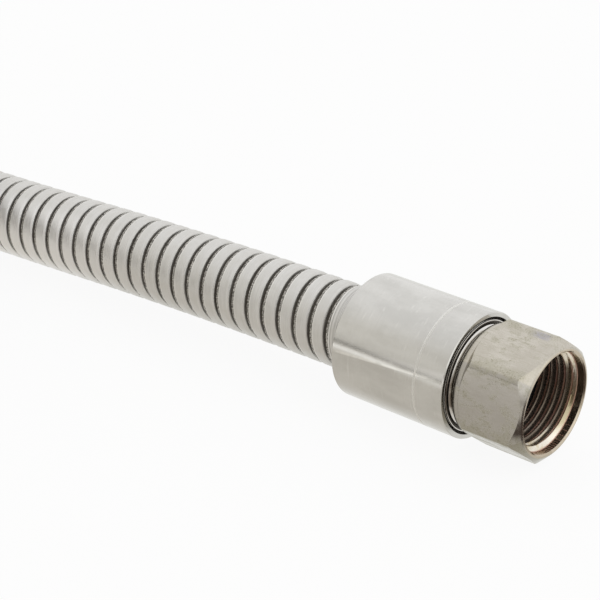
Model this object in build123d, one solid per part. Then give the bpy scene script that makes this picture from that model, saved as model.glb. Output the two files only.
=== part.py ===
from build123d import *
import math
import os

# Flexible metal hose with a swivel nut fitting on each end, lying in a loose coil.
# Millimetres, +Z up. The first fitting lies along X and its nut opens towards +X.
# The origin is on that nut's thread, where its entry chamfer ends.

# Hex swivel nut
HEX_FLATS = 23.6  # width across the flats
HEX_EDGE_ROUND = 2.0  # rounding of the six edges between them
NUT_LENGTH = 17.0
NUT_BACK_FACE = 20.0  # diameter of the flat ring that faces the hose
NUT_BACK_ROUND = 1.7  # rounding from that ring to the turned collar
NUT_COLLAR_END = 2.2  # the collar's length, from the back face
BACK_CHAMFER_DEPTH = 1.6  # axial depth of the chamfer on the back corners
FRONT_CHAMFER_DEPTH = 1.9  # axial depth of the chamfer on the front corners
LIP_DEPTH = 0.22  # tapered lip in front of that chamfer
LIP_TAPER = 0.37  # how far the lip closes in
MOUTH_RIM = 0.3  # width of the flat rim around the mouth
THREAD_MAJOR = 20.96  # G 1/2 female thread, major diameter
ENTRY_CHAMFER = 0.3
NUT_BACK_WALL = 3.4  # wall that the stem's flange bears on
RELIEF = 21.4  # plain bore behind the thread, where the washer lies
RELIEF_LENGTH = 2.8
NEAR_NUT_TURN = -10.0  # degrees that each nut is turned about X from corner-up
FAR_NUT_TURN = 0.0

# Stem: the turned tailpiece that the nut turns on
STEM_BORE = 8.4
NECK = 16.5  # diameter inside the nut's back wall
NECK_CLEARANCE = 0.05
FLANGE = 18.3
FLANGE_THICKNESS = 1.3
SHOULDER = 21.4
SHOULDER_LENGTH = 10.4
SHOULDER_GAP = 0.43  # between the nut's back face and the shoulder
SHOULDER_PROUD = 0.27  # how far the shoulder stands out of the ferrule
SHOULDER_CHAMFER = 0.6
SHOULDER_CHAMFER_DEPTH = 0.45
TAIL = 9.8  # root diameter of the barbed tail
BARB = 11.0
BARB_PITCH = 3.2
BARB_COUNT = 4

WASHER_THICKNESS = 1.3
WASHER_HOLE = 12.0
WASHER_CLEARANCE = 0.1  # from the thread's wall to the washer's rim

# Ferrule and what it grips
FERRULE = 26.6
FERRULE_LENGTH = 27.7
FERRULE_RIM = 1.0  # wall at the open front end
RECESS_DEPTH = 4.0
REAR_CHAMFER = 0.3
FRONT_CHAMFER = 0.2
SCORE_BACK = 6.8  # scored ring line, measured from the front face
SCORE_WIDTH = 0.3
SCORE_DEPTH = 0.12
SLEEVE_WALL = 0.95
SLEEVE_CHAMFER = 0.4  # on the outer edge of the sleeve's open end
SLEEVE_LIP = 1.0  # inward lip that the hose's end butts against
FIT_CLEARANCE = 0.05
LINER_WALL = 1.75
CRIMP_WALL = 0.4
CRIMP_LENGTH = 11.0

# Hose
HOSE = 18.2
HOSE_WALL = 1.3
COIL_ACROSS = 182.0  # at the middle of the turns
LAYER_GAP = 0.3  # between a turn and the turn that lies on it

# Stations along the first fitting's axis
mouth = ENTRY_CHAMFER
nut_back = mouth - NUT_LENGTH
wall_front = nut_back + NUT_BACK_WALL
flange_back = wall_front + NECK_CLEARANCE
flange_front = flange_back + FLANGE_THICKNESS
shoulder_front = nut_back - SHOULDER_GAP
ferrule_front = shoulder_front - SHOULDER_PROUD
shoulder_back = shoulder_front - SHOULDER_LENGTH
sleeve_back = shoulder_back - FIT_CLEARANCE - SLEEVE_LIP
hose_end = sleeve_back - FIT_CLEARANCE
ferrule_back = ferrule_front - FERRULE_LENGTH
liner_front = sleeve_back + SLEEVE_LIP
tail_end = liner_front - FIT_CLEARANCE - BARB_COUNT * BARB_PITCH

thread_r = THREAD_MAJOR / 2
sleeve_hole_r = SHOULDER / 2 + FIT_CLEARANCE
sleeve_r = sleeve_hole_r + SLEEVE_WALL
hose_r = HOSE / 2
hose_hole_r = hose_r - HOSE_WALL
liner_hole_r = BARB / 2 + FIT_CLEARANCE
liner_r = liner_hole_r + LINER_WALL
crimp_hole_r = liner_r + FIT_CLEARANCE
crimp_r = crimp_hole_r + CRIMP_WALL
lip_r = thread_r + ENTRY_CHAMFER + MOUTH_RIM
round_loss = HEX_EDGE_ROUND * (2 / math.sqrt(3) - 1)
hex_corner_r = HEX_FLATS / math.sqrt(3) - round_loss
floor = -max(hex_corner_r, FERRULE / 2)
run_z = floor + hose_r
top_z = run_z + HOSE + LAYER_GAP

# Routes of the hose that isn't coiled: from the first fitting to the coil,
# and from the top of the coil to the second fitting
RUN_ROUTE = [
    (hose_end, 0, 0),
    (-80, 0, 0),
    (-170, -2, run_z),
    (-218, -2, run_z),
]
coil_x, coil_y = RUN_ROUTE[-1][0], RUN_ROUTE[-1][1] - COIL_ACROSS / 2
tail_y = coil_y - COIL_ACROSS / 2
FAR_END_X = -99  # where the hose ends inside the second ferrule
TAIL_ROUTE = [
    (coil_x, tail_y, top_z),
    (coil_x + 45, tail_y, top_z),
    (coil_x + 83, tail_y, 0),
    (FAR_END_X, tail_y, 0),
]
far_place = Location((FAR_END_X - hose_end, tail_y, 0))


def turned(*outline):
    """A solid of revolution about X from (x, radius) points."""
    return revolve(make_face(Polyline(*outline, close=True)), Axis.X)


def ring(back, front, hole_r, outer_r):
    return turned((back, hole_r), (front, hole_r), (front, outer_r), (back, outer_r))


def swivel_nut(turn):
    collar_r = NUT_BACK_FACE / 2 + NUT_BACK_ROUND
    hole_r = NECK / 2 + NECK_CLEARANCE
    corner_back = nut_back + NUT_COLLAR_END + BACK_CHAMFER_DEPTH
    corner_front = mouth - LIP_DEPTH - FRONT_CHAMFER_DEPTH
    outline = [
        Line((nut_back, hole_r), (nut_back, NUT_BACK_FACE / 2)),
        RadiusArc((nut_back, NUT_BACK_FACE / 2), (nut_back + NUT_BACK_ROUND, collar_r), NUT_BACK_ROUND),
        Polyline(
            (nut_back + NUT_BACK_ROUND, collar_r),
            (nut_back + NUT_COLLAR_END, collar_r),
            (corner_back, hex_corner_r + FIT_CLEARANCE),
            (corner_front, hex_corner_r + FIT_CLEARANCE),
            (mouth - LIP_DEPTH, lip_r + LIP_TAPER),
            (mouth, lip_r),
            (mouth, thread_r + ENTRY_CHAMFER),
            (0, thread_r),
            (wall_front + RELIEF_LENGTH, thread_r),
            (wall_front + RELIEF_LENGTH, RELIEF / 2),
            (wall_front, RELIEF / 2),
            (wall_front, hole_r),
            (nut_back, hole_r),
        ),
    ]
    blank = revolve(make_face(outline), Axis.X)
    hexagon = RegularPolygon(HEX_FLATS / 2, 6, major_radius=False, rotation=turn + 30)
    hexagon = fillet(hexagon.vertices(), HEX_EDGE_ROUND)
    bar = extrude(Plane.YZ.offset(nut_back) * hexagon, NUT_LENGTH)
    return blank & bar


def stem():
    neck_r, shoulder_r, tail_r = NECK / 2, SHOULDER / 2, TAIL / 2
    outline = [
        (flange_front, STEM_BORE / 2),
        (flange_front, FLANGE / 2),
        (flange_back, FLANGE / 2),
        (flange_back, neck_r),
        (shoulder_front, neck_r),
        (shoulder_front, shoulder_r - SHOULDER_CHAMFER),
        (shoulder_front - SHOULDER_CHAMFER_DEPTH, shoulder_r),
        (shoulder_back, shoulder_r),
        (shoulder_back, tail_r),
    ]
    for barb in range(BARB_COUNT):
        edge = tail_end + (BARB_COUNT - barb) * BARB_PITCH
        outline += [(edge, tail_r), (edge, BARB / 2)]
    outline += [(tail_end, tail_r), (tail_end, STEM_BORE / 2)]
    return turned(*outline)


def sealing_washer():
    rim_r = thread_r - WASHER_CLEARANCE
    return ring(flange_front, flange_front + WASHER_THICKNESS, WASHER_HOLE / 2, rim_r)


def inner_sleeve():
    return turned(
        (ferrule_front, sleeve_hole_r),
        (ferrule_front, sleeve_r - SLEEVE_CHAMFER),
        (ferrule_front - SLEEVE_CHAMFER, sleeve_r),
        (sleeve_back, sleeve_r),
        (sleeve_back, hose_hole_r),
        (sleeve_back + SLEEVE_LIP, hose_hole_r),
        (sleeve_back + SLEEVE_LIP, sleeve_hole_r),
    )


def ferrule():
    outer_r = FERRULE / 2
    grip_r = sleeve_r + FIT_CLEARANCE
    hose_grip_r = hose_r + FIT_CLEARANCE
    score = ferrule_front - SCORE_BACK
    return turned(
        (ferrule_front, outer_r - FERRULE_RIM),
        (ferrule_front, outer_r - FRONT_CHAMFER),
        (ferrule_front - FRONT_CHAMFER, outer_r),
        (score + SCORE_WIDTH / 2, outer_r),
        (score, outer_r - SCORE_DEPTH),
        (score - SCORE_WIDTH / 2, outer_r),
        (ferrule_back + REAR_CHAMFER, outer_r),
        (ferrule_back, outer_r - REAR_CHAMFER),
        (ferrule_back, hose_grip_r),
        (sleeve_back - FIT_CLEARANCE, hose_grip_r),
        (sleeve_back - FIT_CLEARANCE, grip_r),
        (ferrule_front - RECESS_DEPTH, grip_r),
        (ferrule_front - RECESS_DEPTH, outer_r - FERRULE_RIM),
    )


def liner_end():
    """The end of the inner tube, pushed over the barbs."""
    return ring(ferrule_back, liner_front - FIT_CLEARANCE, liner_hole_r, liner_r)


def crimp_ring():
    front = liner_front - FIT_CLEARANCE - BARB_PITCH / 2
    return ring(front - CRIMP_LENGTH, front, crimp_hole_r, crimp_r)


def hose_tube(name, route):
    """A plain tube along straight runs joined by arcs as large as the runs allow."""
    points = [Vector(*p) for p in route]
    runs = [b - a for a, b in zip(points, points[1:])]
    radii = []
    for before, after in zip(runs, runs[1:]):
        half_turn = math.radians(before.get_angle(after)) / 2
        radii.append(0.45 * min(before.length, after.length) / math.tan(half_turn))
    path = FilletPolyline(*points, radius=radii)
    start = Plane(path @ 0, z_dir=path % 0)
    tube = sweep(start * Circle(hose_r), path) - sweep(start * Circle(hose_hole_r), path)
    expected = math.pi * (hose_r**2 - hose_hole_r**2) * path.length
    print(name, "length", round(path.length, 1), "radii", [round(r) for r in radii])
    print(name, "volume / (section x length)", round(tube.volume / expected, 4))
    return tube, path.length


def coil():
    """One and a half turns: the second half turn lies on the first, and the half turn
    between them rises from the surface onto the hose that comes in."""
    middle_r = COIL_ACROSS / 2
    rise = top_z - run_z
    centre = Location((coil_x, coil_y, run_z))
    stack = Pos(middle_r, rise / 2) * SlotCenterToCenter(rise, HOSE, rotation=90)
    stacked = revolve(Plane.XZ * stack, Axis.Z, 180)
    stacked = Rot(0, 0, 90) * stacked
    slope = math.degrees(math.atan(rise / COIL_ACROSS))
    reach = math.hypot(rise, COIL_ACROSS) / 2
    half = revolve(Plane.XZ * (Pos(reach, 0) * Circle(hose_r)), Axis.Z, 180)
    half = Pos(0, 0, rise / 2) * Rot(slope, 0, 0) * Rot(0, 0, -90) * half
    return centre * (stacked + half)


fitting_pieces = {
    "stem": stem(),
    "sealing_washer": sealing_washer(),
    "inner_sleeve": inner_sleeve(),
    "ferrule": ferrule(),
    "liner_end": liner_end(),
    "crimp_ring": crimp_ring(),
}
run, run_length = hose_tube("hose_run", RUN_ROUTE)
tail, tail_length = hose_tube("hose_tail", TAIL_ROUTE)
parts = {
    "near_swivel_nut": swivel_nut(NEAR_NUT_TURN),
    "far_swivel_nut": far_place * swivel_nut(FAR_NUT_TURN),
    "hose_run": run,
    "hose_coil": coil(),
    "hose_tail": tail,
}
for name, piece in fitting_pieces.items():
    parts["near_" + name] = piece
    parts["far_" + name] = far_place * piece

hidden = ferrule_back - hose_end
free_length = run_length + tail_length + 1.5 * math.pi * COIL_ACROSS + 2 * hidden
print("hose between the ferrules", round(free_length, 1))
print("mouth to mouth", round(free_length + 2 * (mouth - ferrule_back), 1))

os.makedirs("parts", exist_ok=True)
for name, piece in parts.items():
    export_step(piece, f"parts/{name}.step")
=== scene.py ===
"""Looks of the flexible metal hose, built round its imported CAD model. Metres, row frame.

The hose is one wound strip of stainless steel: a helical groove round the centreline of a
NURBS route. The fittings are the CAD nodes with finishes, plus the fine threads in the nuts
and two thin rings in the gap behind each nut.
"""
import math

import bpy
import numpy as np
from mathutils import Matrix, Vector


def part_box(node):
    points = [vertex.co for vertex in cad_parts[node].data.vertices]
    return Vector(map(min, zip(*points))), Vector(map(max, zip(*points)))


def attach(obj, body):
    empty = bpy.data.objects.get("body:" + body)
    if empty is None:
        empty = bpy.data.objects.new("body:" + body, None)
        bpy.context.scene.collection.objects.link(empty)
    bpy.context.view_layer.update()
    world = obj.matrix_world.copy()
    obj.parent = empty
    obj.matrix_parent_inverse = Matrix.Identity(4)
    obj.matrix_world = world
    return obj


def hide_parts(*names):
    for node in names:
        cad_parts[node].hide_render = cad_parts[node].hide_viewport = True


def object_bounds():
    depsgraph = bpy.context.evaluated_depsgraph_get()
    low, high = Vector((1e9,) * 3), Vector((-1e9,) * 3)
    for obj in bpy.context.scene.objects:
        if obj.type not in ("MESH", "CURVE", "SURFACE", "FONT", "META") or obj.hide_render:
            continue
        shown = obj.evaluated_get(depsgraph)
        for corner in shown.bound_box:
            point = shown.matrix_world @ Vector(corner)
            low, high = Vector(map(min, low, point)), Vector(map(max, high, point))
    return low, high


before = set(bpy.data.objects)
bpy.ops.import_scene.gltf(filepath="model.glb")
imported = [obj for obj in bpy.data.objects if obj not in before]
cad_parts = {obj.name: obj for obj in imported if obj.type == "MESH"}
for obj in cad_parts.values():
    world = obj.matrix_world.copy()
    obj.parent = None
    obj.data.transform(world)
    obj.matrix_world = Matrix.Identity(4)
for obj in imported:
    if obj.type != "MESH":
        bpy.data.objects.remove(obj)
cad_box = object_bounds()
MM = 0.001

# Sizes that the CAD model has too
HOSE = 18.2 * MM  # outer diameter
COIL_ACROSS = 182 * MM  # at the middle of the turns
LAYER_GAP = 0.3 * MM
FERRULE_LENGTH = 27.7 * MM
FERRULE_HOLE_R = 12.3 * MM  # of its open front end
SCORE_BACK = 6.8 * MM  # scored ring line, behind the ferrule's front
SLEEVE_R = 11.7 * MM
ENTRY_CHAMFER = 0.3 * MM  # at the nut's mouth
THREAD_ROOT_R = 10.48 * MM
THREAD_LENGTH = 10.4 * MM

# The wound strip: how far each point of one turn's outline lies along the hose from the
# edge that faces the first fitting, and how far below the outer diameter, in millimetres
STRIP_PITCH = 4.32 * MM
STRIP_OUTLINE = [
    (0.00, 0.80),
    (0.03, 0.48),
    (0.14, 0.24),
    (0.38, 0.08),
    (0.80, 0.00),
    (1.80, 0.02),
    (2.62, 0.00),
    (2.78, 0.02),
    (2.88, 0.10),
    (3.42, 0.15),
    (3.52, 0.80),
]
STRIP_STEPS = 36  # points round one turn
STRIP_START = 0.86  # share of a turn by which the winding starts late

# G 1/2 thread
THREAD_PITCH = 1.814 * MM
THREAD_DEPTH = 1.08 * MM
THREAD_STEPS = 150  # points round the bore
THREAD_ROWS = 116  # points along it
THREAD_START = -0.06  # share of the pitch from the mouth to the first crest, on the +Y side
THREAD_RUN_OUT = 1.3 * MM  # over which its height fades at the inner end
THREAD_PLAIN = 1.5 * MM  # plain bore in front of the first crest
THREAD_FACE = 1.67  # slope of the cut that faces the mouth there
THREAD_SUNK = 0.1 * MM  # how far its hidden back lies in the nut's wall

# Rounded rings in the ferrule's open end: outlines of (radius, distance in front of the
# ferrule), in millimetres
RINGS = {
    "shoulder_ring": [
        (9.95, -0.50), (9.95, 0.28), (10.00, 0.42), (10.10, 0.49), (10.22, 0.47), (10.40, 0.34),
        (10.62, 0.13), (10.80, -0.08), (10.90, -0.25), (10.92, -0.50),
    ],
    "sleeve_ring": [
        (11.36, -0.30), (11.36, -0.08), (11.43, -0.01), (11.52, 0.02), (11.61, -0.01),
        (11.68, -0.08), (11.68, -0.30),
    ],
}
RING_STEPS = 144  # points round one ring

# Marks in the finishes. A pair says where a mark starts and where it is full. Angles are
# degrees round a fitting's axis, from the top towards -Y

# Hose: bands across the strip as shares of the pitch, and places in the row frame
# painted highlight on the rounded lip of each turn
PAINTED_LIP_HIGHLIGHT = (0.575, 0.615)
LEDGE = (0.645, 0.675)
GROOVE = (0.785, 0.82)
STRONG_LINES_X = (-51 * MM, -49 * MM)  # last turns before the near ferrule
PALE_LEFT_X, PALE_RIGHT_X = (-190 * MM, -165 * MM), (-95 * MM, -135 * MM)
PALE_BACK_Y, PALE_FRONT_Y = (-4.5 * MM, -8.5 * MM), (-25 * MM, -16 * MM)

# Ferrule
PAINTED_REFLECTION_FROM, PAINTED_REFLECTION_TO, PAINTED_REFLECTION_SOFT = 72.6, 74.9, 0.5  # painted reflection of a light strip, along it
PAINTED_REFLECTION_LEAN = 8.6 / FERRULE_LENGTH  # degrees by which it drifts for each metre
PAINTED_LIGHT_ABOVE_REFLECTION = (64, 69)
SCORE_HALF, SCORE_SOFT = 0.21 * MM, 0.09 * MM  # half the score's width, and its soft edge
PAINTED_SHADE_BACK = (24 * MM, 22 * MM)  # how far the painted shade inside goes back from the front
HOLE_SOFT = 0.03 * MM

# Nut
PAINTED_SHADE_SIDE_FLAT, PAINTED_SHADE_LOWER_FLAT = (49, 51), (109, 111)  # painted shade, from these corners of the near nut down
CORNER_R = (12.3 * MM, 13.1 * MM)
COOL_BACK_X, COOL_FRONT_X = (-7.5 * MM, -4.5 * MM), (-1.8 * MM, -3.2 * MM)  # cool patch
COOL_AT, COOL_ACROSS = -4.3, (4.87, 1.72)  # its middle, and how far it reaches round it
MOUTH_R, MOUTH_X = (11.3 * MM, 11.0 * MM), (-2.5 * MM, -1.5 * MM)  # brassy mouth

# Thread: shares of its length and of its height
# painted shade, with a rougher and less metallic finish, deeper in
SHADE_AND_DULL_DEPTH, ALL_SHADE_AND_DULL_DEPTH = (0.25, 0.33), (0.44, 0.50)
CREST_HEIGHT = (0, 0.25)

# Rings in the gap
BROWN_FRONT_TOP, BROWN_FRONT_FOOT = (58, 80), (118, 104)

# Floor, as the metal mirrors it, in painted reflected light. The light strip and the dark patch lie
# between their two values
PAINTED_LIT_FLOOR_Y = (-0.014, -0.004)
PAINTED_LIGHT_STRIP_Y = (-0.18, -0.092)
PAINTED_DARK_PATCH_X, PAINTED_DARK_PATCH_Y = (0.008, 0.150), (-0.03, 0.012)

floor_z = cad_box[0][2]
nut_centres = {
    body: Vector((0, (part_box(node)[0].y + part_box(node)[1].y) / 2, 0))
    for body, node in (("near_nut", "near_ferrule"), ("far_nut", "far_ferrule"))
}
nut_fronts = {
    "near_nut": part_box("near_swivel_nut")[1].x,
    "far_nut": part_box("far_swivel_nut")[1].x,
}


# ---------------------------------------------------------------- route of the hose

run_z = floor_z + HOSE / 2
top_z = run_z + HOSE + LAYER_GAP
coil_x, coil_y = -0.218, -0.093
tail_y = coil_y - COIL_ACROSS / 2
RUN_ROUTE = [(-0.02863, 0, 0), (-0.080, 0, 0), (-0.170, -0.002, run_z)]
TAIL_ROUTE = [(coil_x + 0.045, tail_y, top_z), (coil_x + 0.083, tail_y, 0), (-0.099, tail_y, 0)]
COIL_STEPS = 16


def coil_points():
    """One turn and a half, of which the middle half turn rises onto the first."""
    reach = COIL_ACROSS / 2 / math.cos(math.pi / COIL_STEPS)
    points = []
    for step in range(COIL_STEPS * 3 // 2):
        turn = (step + 0.5) / COIL_STEPS
        angle = math.pi / 2 + 2 * math.pi * turn
        climb = min(max(turn - 0.5, 0), 0.5)
        rise = (1 - math.cos(2 * math.pi * climb)) / 2
        x, y = coil_x + reach * math.cos(angle), coil_y + reach * math.sin(angle)
        points.append((x, y, run_z + (top_z - run_z) * rise))
    return points


def route_line(points):
    """Points read from the smooth NURBS line that these control points give."""
    curve = bpy.data.curves.new("route", "CURVE")
    curve.dimensions = "3D"
    spline = curve.splines.new("NURBS")
    spline.points.add(len(points) - 1)
    for control, point in zip(spline.points, points):
        control.co = (*point, 1)
    spline.order_u = 3
    spline.use_endpoint_u = True
    spline.resolution_u = 24
    carrier = bpy.data.objects.new("route", curve)
    bpy.context.scene.collection.objects.link(carrier)
    mesh = bpy.data.meshes.new_from_object(carrier)
    line = np.array([v.co for v in mesh.vertices])
    bpy.data.meshes.remove(mesh)
    bpy.data.objects.remove(carrier)
    return line


def carried_frames(line):
    """Distance along the line, and two directions across it, carried along without twist."""
    steps = np.linalg.norm(np.diff(line, axis=0), axis=1)
    distance = np.concatenate([[0], np.cumsum(steps)])
    tangent = np.gradient(line, distance, axis=0)
    tangent /= np.linalg.norm(tangent, axis=1)[:, None]
    side = [np.array([0.0, -1.0, 0.0])]
    for t in tangent[1:]:
        across = side[-1] - t * (side[-1] @ t)
        side.append(across / np.linalg.norm(across))
    side = np.array(side)
    return distance, side, np.cross(tangent, side)


# ---------------------------------------------------------------- meshes


def mesh_object(name, vertices, faces, sharp_over=40):
    mesh = bpy.data.meshes.new(name)
    mesh.from_pydata(vertices, [], faces)
    mesh.update()
    mesh.shade_smooth()
    mesh.set_sharp_from_angle(angle=math.radians(sharp_over))
    piece = bpy.data.objects.new(name, mesh)
    bpy.context.scene.collection.objects.link(piece)
    return piece


def wound_strip(name, line):
    """The hose's outer skin: one strip wound round the line, each turn joined to the next.
    Its UV map holds the place across the strip, as a share of the pitch, and along it."""
    distance, side, up = carried_frames(line)
    width = len(STRIP_OUTLINE)
    turns = int(distance[-1] / STRIP_PITCH) - 1
    rows = turns * STRIP_STEPS + 1
    row = np.arange(rows)[:, None]
    along = np.array([a for a, _ in STRIP_OUTLINE])[None, :] * MM
    depth = np.array([d for _, d in STRIP_OUTLINE])[None, :] * MM
    place = row / STRIP_STEPS * STRIP_PITCH + along
    angle = 2 * math.pi * (row / STRIP_STEPS + STRIP_START) + 0 * along
    radius = HOSE / 2 - depth + 0 * row

    def read(values):
        return np.stack([np.interp(place, distance, values[:, k]) for k in range(3)], axis=-1)

    points = read(line) + radius[..., None] * (
        np.cos(angle)[..., None] * read(side) + np.sin(angle)[..., None] * read(up)
    )
    vertices = [tuple(p) for p in points.reshape(-1, 3)]

    def index(r, column):
        """The vertex, where the column past the last is the first of the next turn."""
        return r * width + column if column < width else (r + STRIP_STEPS) * width

    faces = []
    for r in range(rows - 1):
        last = width if r + 1 + STRIP_STEPS < rows else width - 1
        for column in range(last):
            corners = ((r, column), (r + 1, column), (r + 1, column + 1), (r, column + 1))
            faces.append(tuple(index(*corner) for corner in corners))
    start_rim = [index(0, c) for c in range(width)]
    start_rim += [index(r, 0) for r in range(STRIP_STEPS, 0, -1)]
    first_open = rows - 1 - STRIP_STEPS
    end_rim = [index(first_open + k, width - 1) for k in range(STRIP_STEPS + 1)]
    end_rim += [index(rows - 1, c) for c in range(width - 2, -1, -1)]
    # A fan round its centre closes each end
    for rim, centre in ((start_rim, line[0]), (end_rim, line[-1])):
        vertices.append(tuple(centre))
        hub = len(vertices) - 1
        faces += [(hub, a, b) for a, b in zip(rim, rim[1:] + rim[:1])]
    piece = mesh_object(name, vertices, faces)

    across = np.concatenate([along[0] / STRIP_PITCH, [1]])
    uv = piece.data.uv_layers.new(name="strip")
    values = np.zeros((len(piece.data.loops), 2))
    girth = math.pi * HOSE
    loop = 0
    for face in piece.data.polygons:
        for v in face.vertices:
            r, column = divmod(v, width)
            values[loop] = across[column], r / STRIP_STEPS * girth
            loop += 1
        # A face on the joint between two turns ends at the full pitch of its own turn
        if len(face.vertices) == 4 and values[loop - 1, 0] < values[loop - 4, 0]:
            values[loop - 2, 0] = values[loop - 1, 0] = 1
            values[loop - 2, 1] -= girth
            values[loop - 1, 1] -= girth
    uv.data.foreach_set("uv", values.astype(np.float32).ravel())
    return piece


def thread_wall(name, body):
    """The female thread: the bore's wall, plain by the mouth, and then rising and falling with
    a helix. A hidden back closes it. Its UV map holds the height and the depth as shares."""
    angle = 2 * math.pi * np.arange(THREAD_STEPS)[:, None] / THREAD_STEPS
    inward = np.linspace(0, THREAD_LENGTH, THREAD_ROWS)[None, :]
    phase = inward / THREAD_PITCH + angle / (2 * math.pi) - THREAD_START
    height = THREAD_DEPTH * (0.5 + 0.5 * np.cos(2 * math.pi * phase))
    height *= np.clip((THREAD_LENGTH - inward) / THREAD_RUN_OUT, 0, 1)
    height = np.clip(height, 0, np.maximum(inward - THREAD_PLAIN, 0) * THREAD_FACE)
    back = np.full((THREAD_STEPS, 1), -THREAD_SUNK)
    height = np.hstack([back, height, back])
    inward = np.hstack([inward[:, :1], inward, inward[:, -1:]]) + 0 * angle
    radius = THREAD_ROOT_R - height
    start, centre = nut_fronts[body] - ENTRY_CHAMFER, nut_centres[body]
    columns = height.shape[1]
    points = np.stack(
        [start - inward, centre.y + radius * np.cos(angle), radius * np.sin(angle)], axis=-1
    )
    faces = []
    for step in range(THREAD_STEPS):
        row, after = step * columns, (step + 1) % THREAD_STEPS * columns
        for k in range(columns):
            beside = (k + 1) % columns
            faces.append((row + k, row + beside, after + beside, after + k))
    piece = mesh_object(name, [tuple(p) for p in points.reshape(-1, 3)], faces, sharp_over=50)
    shares = np.stack([height / THREAD_DEPTH, inward / THREAD_LENGTH], axis=-1).reshape(-1, 2)
    corners = np.zeros(len(piece.data.loops), dtype=np.int32)
    piece.data.loops.foreach_get("vertex_index", corners)
    uv = piece.data.uv_layers.new(name="thread")
    uv.data.foreach_set("uv", shares[corners].astype(np.float32).ravel())
    return piece


def turned_ring(name, centre, front, profile):
    """A ring turned round the fitting's axis, from (radius, distance in front) points."""
    vertices, faces = [], []
    sides = len(profile)
    for step in range(RING_STEPS):
        angle = 2 * math.pi * step / RING_STEPS
        for radius, proud in profile:
            y, z = radius * MM * math.cos(angle), radius * MM * math.sin(angle)
            vertices.append((front + proud * MM, centre.y + y, z))
        after = (step + 1) % RING_STEPS * sides
        for side in range(sides):
            beside = (side + 1) % sides
            faces.append((step * sides + side, after + side, after + beside, step * sides + beside))
    return mesh_object(name, vertices, faces)


# ---------------------------------------------------------------- materials


class Shading:
    """Short calls for the nodes of a material or of the world."""

    def __init__(self, tree):
        self.tree = tree

    def feed(self, socket, value):
        """Links another node's output to the socket, or gives it a constant."""
        if hasattr(value, "is_output"):
            self.tree.links.new(value, socket)
        else:
            socket.default_value = value

    def node(self, kind, inputs=(), **settings):
        made = self.tree.nodes.new("ShaderNode" + kind)
        for key, value in settings.items():
            setattr(made, key, value)
        for key, value in dict(inputs).items():
            self.feed(made.inputs[key], value)
        return made

    def axes(self, vector):
        return self.node("SeparateXYZ", {0: vector}).outputs

    def math(self, operation, a, b=0.0):
        return self.node("Math", {0: a, 1: b}, operation=operation).outputs[0]

    def product(self, first, *others):
        for other in others:
            first = self.math("MULTIPLY", first, other)
        return first

    def ramp(self, value, low, high, out_low=0.0, out_high=1.0):
        """A smooth step from out_low, where the value is low, to out_high."""
        inputs = {0: value, 1: low, 2: high, 3: out_low, 4: out_high}
        return self.node("MapRange", inputs, interpolation_type="SMOOTHSTEP").outputs[0]

    def within(self, value, low, high, soft):
        """1 between low and high, with soft ends."""
        up = self.ramp(value, low - soft, low + soft)
        return self.product(up, self.ramp(value, high + soft, high - soft))

    def blend(self, amount, a, b):
        """Colour a where the amount is 0, and b where it is 1."""
        made = self.node("Mix", data_type="RGBA")
        self.feed(made.inputs[0], amount)
        for key, colour in ((6, a), (7, b)):
            self.feed(made.inputs[key], (*colour, 1) if isinstance(colour, tuple) else colour)
        return made.outputs[2]

    def choose(self, amount, a, b):
        return self.node("MixShader", {0: amount, 1: a, 2: b}).outputs[0]

    def ray(self, kind):
        return self.node("LightPath").outputs[f"Is {kind} Ray"]


class Finish(Shading):
    """A material of one surface, with the patterns that the finishes share."""

    def __init__(self, name, metallic=0.0):
        self.material = bpy.data.materials.new(name)
        self.material.use_nodes = True
        super().__init__(self.material.node_tree)
        self.shader = self.tree.nodes["Principled BSDF"]
        self.shader.inputs["Metallic"].default_value = metallic

    def place(self):
        return self.node("TexCoord").outputs["Object"]

    def scaled(self, vector, scale):
        return self.node("VectorMath", {0: vector, 1: scale}, operation="MULTIPLY").outputs[0]

    def offset(self, place, centre):
        inputs = {0: place, 1: tuple(centre)}
        return self.node("VectorMath", inputs, operation="SUBTRACT").outputs[0]

    def radial(self, place, centre):
        """Distance from the fitting's axis."""
        across = self.scaled(self.offset(place, centre), (0, 1, 1))
        return self.node("VectorMath", {0: across}, operation="LENGTH").outputs["Value"]

    def angle(self, place, centre):
        """Degrees round the fitting's axis, from the top towards -Y."""
        _, y, z = self.axes(self.offset(place, centre))
        return self.math("DEGREES", self.math("ARCTAN2", self.math("MULTIPLY", y, -1.0), z))

    def noise(self, vector, scale, detail, roughness):
        """Noise with one scale, or with a scale for each axis."""
        if isinstance(scale, tuple):
            vector, scale = self.scaled(vector, scale), 1.0
        inputs = {"Vector": vector, "Scale": scale, "Detail": detail, "Roughness": roughness}
        return self.node("TexNoise", inputs).outputs["Fac"]

    def ring_noise(self, radial, scale, detail, roughness):
        """Noise that changes only with the distance from the fitting's axis."""
        vector = self.node("CombineXYZ", {0: radial}).outputs[0]
        return self.noise(vector, scale, detail, roughness)

    def drive(self, socket, output):
        self.tree.links.new(output, self.shader.inputs[socket])

    def bump(self, height, distance, under=None):
        inputs = {"Height": height, "Distance": distance, "Strength": 1.0}
        if under is not None:
            inputs["Normal"] = under
        return self.node("Bump", inputs).outputs["Normal"]


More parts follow.
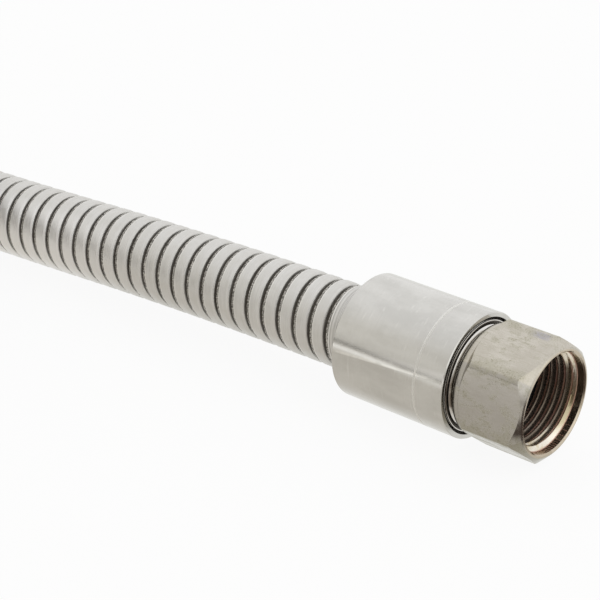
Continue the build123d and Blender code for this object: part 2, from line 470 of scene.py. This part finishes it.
def strip_finish():
    """Rolled stainless strip: fine lines along it, a painted highlight on each turn's rounded lip,
    a burred ledge at one edge, a dark groove.
    Its left end in the picture is paler, to make up for the dark coil that it mirrors."""
    f = Finish("strip_stainless", metallic=1.0)
    uv = f.node("UVMap", uv_map="strip").outputs["UV"]
    across = f.axes(uv)[0]
    place = f.place()
    x, y, _ = f.axes(place)
    lines = f.noise(uv, (55, 60, 1), 4, 0.6)
    strong_lines = f.noise(uv, (22, 2, 1), 2, 0.5)
    mottle = f.noise(place, 420, 4, 0.6)
    specks = f.noise(place, 4200, 3, 0.7)
    ledge = f.ramp(across, *LEDGE)
    # painted highlight on the rounded lip, stopping short of the ledge
    edge = f.product(f.ramp(across, *PAINTED_LIP_HIGHLIGHT), f.math("SUBTRACT", 1.0, ledge), 0.6)
    groove = f.ramp(across, *GROOVE)
    steel = f.blend(f.ramp(lines, 0.3, 0.7), (0.59, 0.58, 0.56), (0.74, 0.73, 0.71))
    strong = f.product(f.ramp(x, *STRONG_LINES_X), f.ramp(strong_lines, 0.46, 0.56), 0.7)
    steel = f.blend(strong, steel, (0.33, 0.32, 0.30))
    steel = f.blend(f.ramp(mottle, 0.35, 0.75, 0, 0.5), steel, (0.60, 0.585, 0.55))
    pale = f.product(f.ramp(x, *PALE_LEFT_X), f.ramp(x, *PALE_RIGHT_X))
    pale = f.product(pale, f.ramp(y, *PALE_BACK_Y), f.ramp(y, *PALE_FRONT_Y))
    steel = f.blend(pale, steel, (0.84, 0.83, 0.82))
    steel = f.blend(edge, steel, (0.92, 0.91, 0.88))
    burr = f.blend(f.ramp(specks, 0.47, 0.56), (0.10, 0.095, 0.085), (0.74, 0.72, 0.68))
    steel = f.blend(ledge, steel, burr)
    f.drive("Base Color", f.blend(groove, steel, (0.11, 0.10, 0.085)))
    rough = f.ramp(lines, 0.25, 0.75, 0.40, 0.54)
    f.drive("Roughness", f.math("ADD", rough, f.math("MULTIPLY", ledge, 0.2)))
    fine = f.bump(lines, 0.012 * MM)
    f.drive("Normal", f.bump(f.math("MULTIPLY", specks, ledge), 0.06 * MM, under=fine))
    return f.material


def ferrule_finish(name, centre, front):
    """Satin stainless, turned: faint rings round it, soft patches, a few fine scratches, a
    score line and a painted reflection of a light strip along its front side. It is paler above
    that painted reflection, painted light to make up for the dark coil that it mirrors. Painted
    shade darkens it inside."""
    f = Finish(name, metallic=1.0)
    place = f.place()
    x = f.axes(place)[0]
    turning = f.noise(place, (9000, 160, 160), 3, 0.6)
    patches = f.noise(place, (110, 240, 240), 4, 0.6)
    clouds = f.noise(place, (160, 90, 90), 3, 0.55)
    scratches = f.noise(place, (2400, 500, 120), 2, 0.5)
    specks = f.noise(place, 2600, 3, 0.7)
    steel = f.blend(f.ramp(patches, 0.3, 0.7), (0.575, 0.565, 0.54), (0.66, 0.65, 0.625))
    steel = f.blend(f.ramp(turning, 0.35, 0.65, 0, 0.3), steel, (0.57, 0.56, 0.53))
    steel = f.blend(f.ramp(scratches, 0.62, 0.74, 0, 0.3), steel, (0.80, 0.79, 0.76))
    steel = f.blend(f.ramp(specks, 0.66, 0.74, 0, 0.5), steel, (0.38, 0.35, 0.30))

    # painted reflection of a light strip, drifting round the ferrule along its length
    lean = f.math("MULTIPLY", f.math("SUBTRACT", x, front), PAINTED_REFLECTION_LEAN)
    angle = f.math("ADD", f.angle(place, centre), lean)
    reflection_in = f.ramp(angle, PAINTED_REFLECTION_FROM - PAINTED_REFLECTION_SOFT, PAINTED_REFLECTION_FROM + PAINTED_REFLECTION_SOFT)
    reflection_out = f.ramp(angle, PAINTED_REFLECTION_TO + PAINTED_REFLECTION_SOFT, PAINTED_REFLECTION_TO - PAINTED_REFLECTION_SOFT)
    # painted light above the painted reflection, to make up for the dark coil that it mirrors
    above = f.product(f.ramp(angle, *PAINTED_LIGHT_ABOVE_REFLECTION), f.math("SUBTRACT", 1.0, reflection_in))
    steel = f.blend(above, steel, (0.72, 0.71, 0.69))
    painted_reflection = f.product(reflection_in, reflection_out, f.ramp(clouds, 0.38, 0.58, 0.2, 0.75))
    steel = f.blend(painted_reflection, steel, (0.86, 0.85, 0.82))

    score_x = front - SCORE_BACK
    score = f.within(x, score_x - SCORE_HALF, score_x + SCORE_HALF, SCORE_SOFT)
    steel = f.blend(f.math("MULTIPLY", score, 0.7), steel, (0.84, 0.83, 0.80))

    # painted shade inside the ferrule's open end
    radial = f.radial(place, centre)
    hole = f.ramp(radial, FERRULE_HOLE_R + HOLE_SOFT, FERRULE_HOLE_R - HOLE_SOFT)
    starts, full = PAINTED_SHADE_BACK
    inside = f.product(hole, f.ramp(x, front - starts, front - full))
    f.drive("Base Color", f.blend(inside, steel, (0.10, 0.09, 0.08)))
    turned = f.ramp(turning, 0.3, 0.7, 0, 0.04)
    rough = f.math("ADD", f.ramp(patches, 0.3, 0.7, 0.11, 0.19), turned)
    f.drive("Roughness", f.math("ADD", rough, f.math("MULTIPLY", score, 0.4)))
    f.drive("Normal", f.bump(turning, 0.003 * MM, under=f.bump(patches, 0.015 * MM)))
    return f.material


def nut_finish(name, centre):
    """Nickel plate over brass: drawn lines along the flats, and olive stains, grainy by the
    corners. On the front side painted shade makes the flats darker from the top down. The near
    nut, which the photo shows, also has a cool patch on top and a brassy mouth."""
    f = Finish(name, metallic=1.0)
    place = f.place()
    x = f.axes(place)[0]
    radial, angle = f.radial(place, centre), f.angle(place, centre)
    drawn = f.noise(place, (300, 3000, 3000), 4, 0.65)
    flecks = f.noise(place, 3200, 4, 0.75)
    patches = f.noise(place, (150, 260, 260), 4, 0.6)
    clouds = f.noise(place, (420, 700, 700), 4, 0.65)
    nickel = f.blend(f.ramp(patches, 0.35, 0.65), (0.515, 0.48, 0.42), (0.585, 0.55, 0.49))
    nickel = f.blend(f.ramp(drawn, 0.42, 0.66, 0, 0.45), nickel, (0.44, 0.41, 0.345))
    # painted shade: the flats on the front side darker from the top down
    nickel = f.blend(f.ramp(angle, *PAINTED_SHADE_SIDE_FLAT, 0, 0.8), nickel, (0.43, 0.41, 0.385))
    nickel = f.blend(f.ramp(angle, *PAINTED_SHADE_LOWER_FLAT, 0, 0.7), nickel, (0.33, 0.31, 0.25))

    stained = f.product(f.ramp(clouds, 0.46, 0.62), f.ramp(patches, 0.38, 0.60))
    by_corners = f.product(f.ramp(radial, *CORNER_R), f.ramp(clouds, 0.34, 0.56))
    stained = f.math("MAXIMUM", stained, by_corners)
    nickel = f.blend(f.math("MULTIPLY", stained, 0.4), nickel, (0.40, 0.385, 0.29))
    grain = f.product(f.ramp(flecks, 0.50, 0.64), f.math("ADD", stained, 0.12), 0.75)
    nickel = f.blend(grain, nickel, (0.26, 0.24, 0.165))

    from_middle = f.math("ABSOLUTE", f.math("SUBTRACT", angle, COOL_AT))
    cool = f.product(f.ramp(x, *COOL_BACK_X), f.ramp(x, *COOL_FRONT_X))
    cool = f.product(cool, f.ramp(from_middle, *COOL_ACROSS))
    cool = f.product(cool, f.ramp(flecks, 0.36, 0.56, 0.95, 0.35))
    nickel = f.blend(cool, nickel, (0.39, 0.38, 0.43))
    mouth = f.product(f.ramp(radial, *MOUTH_R), f.ramp(x, *MOUTH_X, 0, 0.5))
    f.drive("Base Color", f.blend(mouth, nickel, (0.58, 0.47, 0.34)))
    rough = f.ramp(patches, 0.3, 0.7, 0.16, 0.26)
    f.drive("Roughness", f.math("ADD", rough, f.math("MULTIPLY", stained, 0.12)))
    f.drive("Normal", f.bump(drawn, 0.004 * MM, under=f.bump(patches, 0.025 * MM)))
    return f.material


def brass_finish():
    """Cut brass of the threads: pale on the crests near the mouth and brown in the roots, with
    painted light that makes the crests paler at the top and the foot of the bore. Further in,
    painted shade darkens them and they grow rougher and less metallic, though the top and the
    foot of the wall stay bright a little deeper."""
    f = Finish("thread_brass")
    place = f.place()
    z = f.axes(place)[2]
    height, depth, _ = f.axes(f.node("UVMap", uv_map="thread").outputs["UV"])
    stains = f.noise(place, 300, 4, 0.6)
    fine = f.noise(place, 3500, 2, 0.6)
    # painted light: crests paler at the top and at the foot of the bore
    crest = f.blend(f.ramp(z, -3 * MM, 3 * MM), (0.61, 0.535, 0.365), (0.80, 0.735, 0.62))
    crest = f.blend(f.ramp(z, -7.5 * MM, -9.5 * MM), crest, (0.82, 0.77, 0.68))
    crest = f.blend(f.ramp(stains, 0.48, 0.62, 0, 0.6), crest, (0.60, 0.50, 0.29))
    # painted shade further in, held back a little at the top and the foot by painted light
    below_top = f.ramp(z, 5.5 * MM, 3 * MM, 0.1, 1.0)
    above_foot = f.ramp(z, -9.3 * MM, -8.0 * MM, 0.3, 1.0)
    shade_and_dull = f.product(f.ramp(depth, *SHADE_AND_DULL_DEPTH, 0, 0.95), below_top, above_foot)
    shade_and_dull = f.math("MAXIMUM", shade_and_dull, f.ramp(depth, *ALL_SHADE_AND_DULL_DEPTH, 0, 0.95))
    crest = f.blend(shade_and_dull, crest, (0.17, 0.135, 0.11))
    root = f.blend(f.ramp(stains, 0.4, 0.65), (0.56, 0.33, 0.24), (0.50, 0.27, 0.21))
    f.drive("Base Color", f.blend(f.ramp(height, *CREST_HEIGHT), root, crest))
    metal = f.ramp(height, *CREST_HEIGHT, 0.15, 1.0)
    f.drive("Metallic", f.math("SUBTRACT", metal, f.math("MULTIPLY", shade_and_dull, 0.2)))
    rough = f.ramp(fine, 0.3, 0.7, 0.12, 0.24)
    f.drive("Roughness", f.math("ADD", rough, f.math("MULTIPLY", shade_and_dull, 0.12)))
    f.drive("Normal", f.bump(fine, 0.008 * MM))
    return f.material


def bright_finish():
    """Polished turned steel of the stems and the crimp rings."""
    f = Finish("stem_bright", metallic=1.0)
    turning = f.noise(f.place(), (7000, 90, 90), 2, 0.5)
    f.drive("Base Color", f.blend(turning, (0.72, 0.71, 0.69), (0.60, 0.59, 0.57)))
    f.drive("Roughness", f.ramp(turning, 0.3, 0.7, 0.12, 0.22))
    f.drive("Normal", f.bump(turning, 0.005 * MM))
    return f.material


def ring_finish(name, centre):
    """Turned steel of the rings in the gap, brown and darker on the front side."""
    f = Finish(name, metallic=1.0)
    place = f.place()
    turning = f.ring_noise(f.radial(place, centre), 5000, 2, 0.6)
    patches = f.noise(place, 500, 3, 0.6)
    angle = f.angle(place, centre)
    brown_front = f.product(f.ramp(angle, *BROWN_FRONT_TOP), f.ramp(angle, *BROWN_FRONT_FOOT))
    brown_front = f.product(brown_front, f.ramp(patches, 0.38, 0.56, 0.3, 0.9))
    steel = f.blend(f.ramp(turning, 0.40, 0.52), (0.36, 0.34, 0.31), (0.76, 0.74, 0.71))
    f.drive("Base Color", f.blend(brown_front, steel, (0.20, 0.165, 0.135)))
    f.drive("Roughness", f.ramp(turning, 0.3, 0.7, 0.12, 0.22))
    return f.material


def sleeve_finish(name, centre):
    """Near-black sleeve whose open end shows a few fine bright rings."""
    f = Finish(name, metallic=1.0)
    radial = f.radial(f.place(), centre)
    fine = f.ring_noise(radial, 9000, 2, 0.6)
    outer = f.ramp(radial, SLEEVE_R - 0.10 * MM, SLEEVE_R - 0.02 * MM)
    bright = f.math("MAXIMUM", f.ramp(fine, 0.58, 0.66, 0, 0.5), outer)
    f.drive("Base Color", f.blend(bright, (0.07, 0.062, 0.055), (0.62, 0.60, 0.56)))
    f.drive("Roughness", f.ramp(fine, 0.3, 0.7, 0.2, 0.4))
    f.drive("Normal", f.bump(fine, 0.02 * MM))
    return f.material


def rubber_finish(name, colour):
    """Moulded rubber of the washers and the inner tube."""
    f = Finish(name)
    grain = f.noise(f.place(), 2600, 4, 0.6)
    darker = tuple(c * 0.7 for c in colour)
    f.drive("Base Color", f.blend(grain, colour, darker))
    f.drive("Roughness", f.ramp(grain, 0.3, 0.7, 0.5, 0.7))
    f.drive("Normal", f.bump(grain, 0.02 * MM))
    return f.material


def finish_node(node, material):
    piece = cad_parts[node]
    for slot in piece.material_slots:
        slot.material = material
    if not piece.material_slots:
        piece.data.materials.append(material)


# ---------------------------------------------------------------- the pieces

line = route_line(RUN_ROUTE + coil_points() + TAIL_ROUTE)
hose = wound_strip("hose", line)
hose.data.materials.append(strip_finish())
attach(hose, "hose_body")
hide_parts("hose_run", "hose_coil", "hose_tail")

brass = brass_finish()
for body in ("near_nut", "far_nut"):
    thread = thread_wall(body + "_thread", body)
    thread.data.materials.append(brass)
    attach(thread, body)

bright = bright_finish()
washer_rubber = rubber_finish("washer_rubber", (0.035, 0.035, 0.035))
liner_rubber = rubber_finish("liner_rubber", (0.03, 0.03, 0.03))
for end in ("near", "far"):
    centre = nut_centres[end + "_nut"]
    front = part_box(end + "_ferrule")[1].x
    finish_node(end + "_swivel_nut", nut_finish(end + "_nut_nickel", centre))
    finish_node(end + "_ferrule", ferrule_finish(end + "_ferrule_stainless", centre, front))
    finish_node(end + "_inner_sleeve", sleeve_finish(end + "_sleeve_black", centre))
    finish_node(end + "_stem", bright)
    ring_steel = ring_finish(end + "_ring_steel", centre)
    for ring, profile in RINGS.items():
        piece = turned_ring(f"{end}_{ring}", centre, front, profile)
        piece.data.materials.append(ring_steel)
        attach(piece, "hose_body")
    finish_node(end + "_sealing_washer", washer_rubber)
    finish_node(end + "_liner_end", liner_rubber)
    finish_node(end + "_crimp_ring", bright)


# ---------------------------------------------------------------- studio


def camera():
    """Looks down at the near fitting from its front right, as far as the hose's left end."""
    azimuth, elevation = math.radians(40.393), math.radians(26.164)
    right = Vector((math.cos(azimuth), math.sin(azimuth), 0))
    back = Vector((
        math.sin(azimuth) * math.cos(elevation),
        -math.cos(azimuth) * math.cos(elevation),
        math.sin(elevation),
    ))
    lens = bpy.data.cameras.new("camera")
    lens.sensor_width = 36
    lens.lens = 119.4
    lens.clip_start = 0.01
    view = bpy.data.objects.new("camera", lens)
    view.matrix_world = Matrix((right, back.cross(right), back)).transposed().to_4x4()
    view.location = (0.18072, -0.28822, 0.18768)
    bpy.context.scene.collection.objects.link(view)
    bpy.context.scene.camera = view


def studio_world():
    """Soft white surround, a little darker and warmer in front, with a bright window to the
    right, a low dark wall on the front right and a dark room behind the camera. The camera
    sees plain white. Each ramp is over the x, y or z of a direction."""
    world = bpy.data.worlds.new("studio")
    world.use_nodes = True
    s = Shading(world.node_tree)
    direction = s.node("TexCoord").outputs["Generated"]
    x, y, z = s.axes(direction)
    front = s.blend(s.ramp(z, -0.1, 0.35), (0.72, 0.70, 0.655), (0.82, 0.80, 0.755))
    front = s.blend(s.ramp(z, 0.45, 0.95), front, (1.0, 1.0, 1.0))
    light = s.blend(s.ramp(y, -0.30, 0.35), front, (1.05, 1.05, 1.05))
    window = s.product(s.ramp(x, 0.70, 0.84), s.ramp(z, 0.16, 0.24))
    light = s.blend(window, light, (1.30, 1.30, 1.27))
    toward_room = {0: direction, 1: (0.55, -0.72, 0.42)}
    facing = s.node("VectorMath", toward_room, operation="DOT_PRODUCT").outputs["Value"]
    light = s.blend(s.ramp(facing, 0.935, 0.985), light, (0.20, 0.19, 0.18))
    wall = s.product(s.ramp(x, 0.40, 0.55), s.ramp(y, -0.12, -0.30), s.ramp(z, 0.08, 0.02))
    light = s.blend(wall, light, (0.26, 0.24, 0.225))
    surround = s.node("Background", {0: light}).outputs[0]
    white = s.node("Background", {0: (1, 1, 1, 1)}).outputs[0]
    shader = s.choose(s.ray("Camera"), surround, white)
    s.tree.links.new(shader, s.tree.nodes["World Output"].inputs[0])
    bpy.context.scene.world = world


def studio_floor():
    """A pale floor that the camera sees as nearly white, with a faint shadow. For the metal's
    reflections it glows with painted light instead: lit, less in front, with a light strip there
    and a dark patch by the mouth."""
    half = 6
    square = ((-half, -half), (half, -half), (half, half), (-half, half))
    corners = [(x, y, floor_z) for x, y in square]
    floor = mesh_object("floor", corners, [(0, 1, 2, 3)])
    material = bpy.data.materials.new("floor")
    material.use_nodes = True
    material.cycles.emission_sampling = "NONE"
    s = Shading(material.node_tree)
    s.tree.nodes.remove(s.tree.nodes["Principled BSDF"])
    x, y, _ = s.axes(s.node("TexCoord").outputs["Object"])
    # painted reflected light, seen only in the metal: less in front, a light strip and a dark patch
    lit = s.blend(s.ramp(y, *PAINTED_LIT_FLOOR_Y), (0.70, 0.67, 0.615), (0.92, 0.92, 0.90))
    lit = s.blend(s.within(y, *PAINTED_LIGHT_STRIP_Y, 0.012), lit, (1.08, 1.07, 1.03))
    painted_dark_patch = s.product(s.within(x, *PAINTED_DARK_PATCH_X, 0.002), s.within(y, *PAINTED_DARK_PATCH_Y, 0.002))
    lit = s.blend(painted_dark_patch, lit, (0.10, 0.075, 0.065))
    matt = s.node("BsdfDiffuse", {0: (0.8, 0.8, 0.8, 1)}).outputs[0]
    reflected = s.node("Emission", {0: lit}).outputs[0]
    white = s.node("Emission", {0: (1, 1, 1, 1)}).outputs[0]
    seen = s.node("MapRange", {0: s.ray("Camera"), 4: 0.92}).outputs[0]
    shader = s.choose(seen, s.choose(s.ray("Glossy"), matt, reflected), white)
    s.tree.links.new(shader, s.tree.nodes["Material Output"].inputs[0])
    floor.data.materials.append(material)


camera()
studio_world()
studio_floor()
bpy.context.scene.view_settings.view_transform = "Standard"
